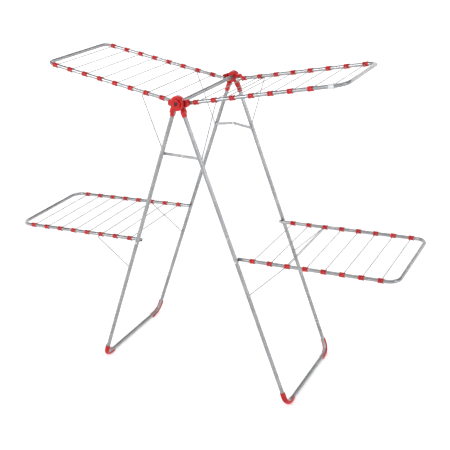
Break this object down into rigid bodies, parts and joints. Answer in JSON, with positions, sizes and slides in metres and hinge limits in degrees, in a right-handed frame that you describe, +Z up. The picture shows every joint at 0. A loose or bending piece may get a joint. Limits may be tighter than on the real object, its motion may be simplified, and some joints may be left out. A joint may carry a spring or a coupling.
{
  "type": "folding clothes drying rack",
  "caption": "Folding clothes drying rack: an A-frame of bent tube with four line-strung wings on wire bails and moulded red hubs, clips and feet.",
  "frame": {"origin": "on the floor, below the middle of the cross bar that joins the two hubs", "axes": "+X across the wings towards the right pair, +Y from the front hub to the rear hub, +Z up"},
  "size_m": [1.7212, 0.4922, 1.3455],
  "materials": {
    "tube": "gloss",
    "red_plastic": "gloss",
    "grey_plastic": "satin",
    "dark_plastic": "matte",
    "line": "satin",
    "wire": "satin",
    "strip": "satin",
    "fastener": "polished"
  },
  "bodies": {
    "hub": {"cross_bar": "tube", "bar_plugs": "dark_plastic", "hub_screws": "fastener", "hub_cap_front": "red_plastic", "hub_cap_rear": "red_plastic"},
    "left_leg": {"left_leg_frame": "tube", "left_foot_front": "red_plastic", "left_foot_rear": "red_plastic", "left_hub_front": "red_plastic", "left_hub_rear": "red_plastic", "upper_left_hinge_pins": "fastener", "lower_left_rivets": "fastener", "lower_left_bushes": "dark_plastic"},
    "right_leg": {"right_leg_frame": "tube", "right_foot_front": "red_plastic", "right_foot_rear": "red_plastic", "right_hub_front": "red_plastic", "right_hub_rear": "red_plastic", "upper_right_hinge_pins": "fastener", "lower_right_rivets": "fastener", "lower_right_bushes": "dark_plastic"},
    "upper_left_wing": {"upper_left_frame": "tube", "upper_left_clips_front": "red_plastic", "upper_left_clips_rear": "red_plastic", "upper_left_lines": "line"},
    "upper_right_wing": {"upper_right_frame": "tube", "upper_right_clips_front": "red_plastic", "upper_right_clips_rear": "red_plastic", "upper_right_lines": "line", "upper_right_spare_clip": "grey_plastic"},
    "lower_left_wing": {"lower_left_frame": "tube", "lower_left_clips_front": "red_plastic", "lower_left_clips_rear": "red_plastic", "lower_left_lines": "line"},
    "lower_right_wing": {"lower_right_frame": "tube", "lower_right_clips_front": "red_plastic", "lower_right_clips_rear": "red_plastic", "lower_right_lines": "line"},
    "upper_left_prop": {"upper_left_bail": "wire"},
    "upper_right_prop": {"upper_right_bail": "wire"},
    "lower_left_prop": {"lower_left_bail": "wire"},
    "lower_right_prop": {"lower_right_bail": "wire"},
    "left_link_front": {"spreader_left_front": "strip", "spreader_eyelet_front": "fastener"},
    "left_link_rear": {"spreader_left_rear": "strip", "spreader_eyelet_rear": "fastener"},
    "right_link_front": {"spreader_right_front": "strip"},
    "right_link_rear": {"spreader_right_rear": "strip"}
  },
  "joints": [
    {"name": "left_leg_fold", "type": "hinge", "parent": "hub", "child": "left_leg", "pos_m": [0, 0, 1.218], "axis": [0, -1, 0], "range_deg": [0, 19.6]},
    {"name": "right_leg_fold", "type": "hinge", "parent": "hub", "child": "right_leg", "pos_m": [0, 0, 1.218], "axis": [0, 1, 0], "range_deg": [0, 19.6]},
    {"name": "upper_left_wing_fold", "type": "hinge", "parent": "left_leg", "child": "upper_left_wing", "pos_m": [-0.034, 0, 1.215], "axis": [0, -1, 0], "range_deg": [0, 79.5]},
    {"name": "upper_left_bail_swing", "type": "hinge", "parent": "left_leg", "child": "upper_left_prop", "pos_m": [-0.08386, 0, 1.009], "axis": [0, -1, 0], "range_deg": [0, 141.13]},
    {"name": "upper_right_wing_fold", "type": "hinge", "parent": "right_leg", "child": "upper_right_wing", "pos_m": [0.034, 0, 1.215], "axis": [0, 1, 0], "range_deg": [0, 81]},
    {"name": "upper_right_bail_swing", "type": "hinge", "parent": "right_leg", "child": "upper_right_prop", "pos_m": [0.08386, 0, 1.009], "axis": [0, 1, 0], "range_deg": [0, 144.93]},
    {"name": "lower_left_wing_fold", "type": "hinge", "parent": "left_leg", "child": "lower_left_wing", "pos_m": [-0.2264, 0, 0.612], "axis": [0, -1, 0], "range_deg": [0, 65.3]},
    {"name": "lower_left_bail_swing", "type": "hinge", "parent": "left_leg", "child": "lower_left_prop", "pos_m": [-0.27666, 0, 0.472], "axis": [0, -1, 0], "range_deg": [0, 108.3]},
    {"name": "lower_right_wing_fold", "type": "hinge", "parent": "right_leg", "child": "lower_right_wing", "pos_m": [0.2264, 0, 0.612], "axis": [0, 1, 0], "range_deg": [0, 71.5]},
    {"name": "lower_right_bail_swing", "type": "hinge", "parent": "right_leg", "child": "lower_right_prop", "pos_m": [0.27666, 0, 0.472], "axis": [0, 1, 0], "range_deg": [0, 116.57]},
    {"name": "left_link_front_fold", "type": "hinge", "parent": "left_leg", "child": "left_link_front", "pos_m": [-0.08386, 0, 1.009], "axis": [0, -1, 0], "range_deg": [0, 64.09]},
    {"name": "right_link_front_fold", "type": "hinge", "parent": "right_leg", "child": "right_link_front", "pos_m": [0.08386, 0, 1.009], "axis": [0, 1, 0], "range_deg": [0, 64.09]},
    {"name": "left_link_rear_fold", "type": "hinge", "parent": "left_leg", "child": "left_link_rear", "pos_m": [-0.08386, 0, 1.009], "axis": [0, -1, 0], "range_deg": [0, 56.07]},
    {"name": "right_link_rear_fold", "type": "hinge", "parent": "right_leg", "child": "right_link_rear", "pos_m": [0.08386, 0, 1.009], "axis": [0, 1, 0], "range_deg": [0, 56.07]}
  ],
  "couplings": [
    {"joint": "right_leg_fold", "follows": "left_leg_fold", "ratio": 1},
    {"joint": "upper_left_bail_swing", "follows": "upper_left_wing_fold", "ratio": 1.774},
    {"joint": "upper_right_bail_swing", "follows": "upper_right_wing_fold", "ratio": 1.788},
    {"joint": "lower_left_bail_swing", "follows": "lower_left_wing_fold", "ratio": 1.657},
    {"joint": "lower_right_bail_swing", "follows": "lower_right_wing_fold", "ratio": 1.629},
    {"joint": "left_link_front_fold", "follows": "left_leg_fold", "ratio": 3.262},
    {"joint": "right_link_front_fold", "follows": "left_leg_fold", "ratio": 3.262},
    {"joint": "left_link_rear_fold", "follows": "left_leg_fold", "ratio": 2.853},
    {"joint": "right_link_rear_fold", "follows": "left_leg_fold", "ratio": 2.853}
  ]
}
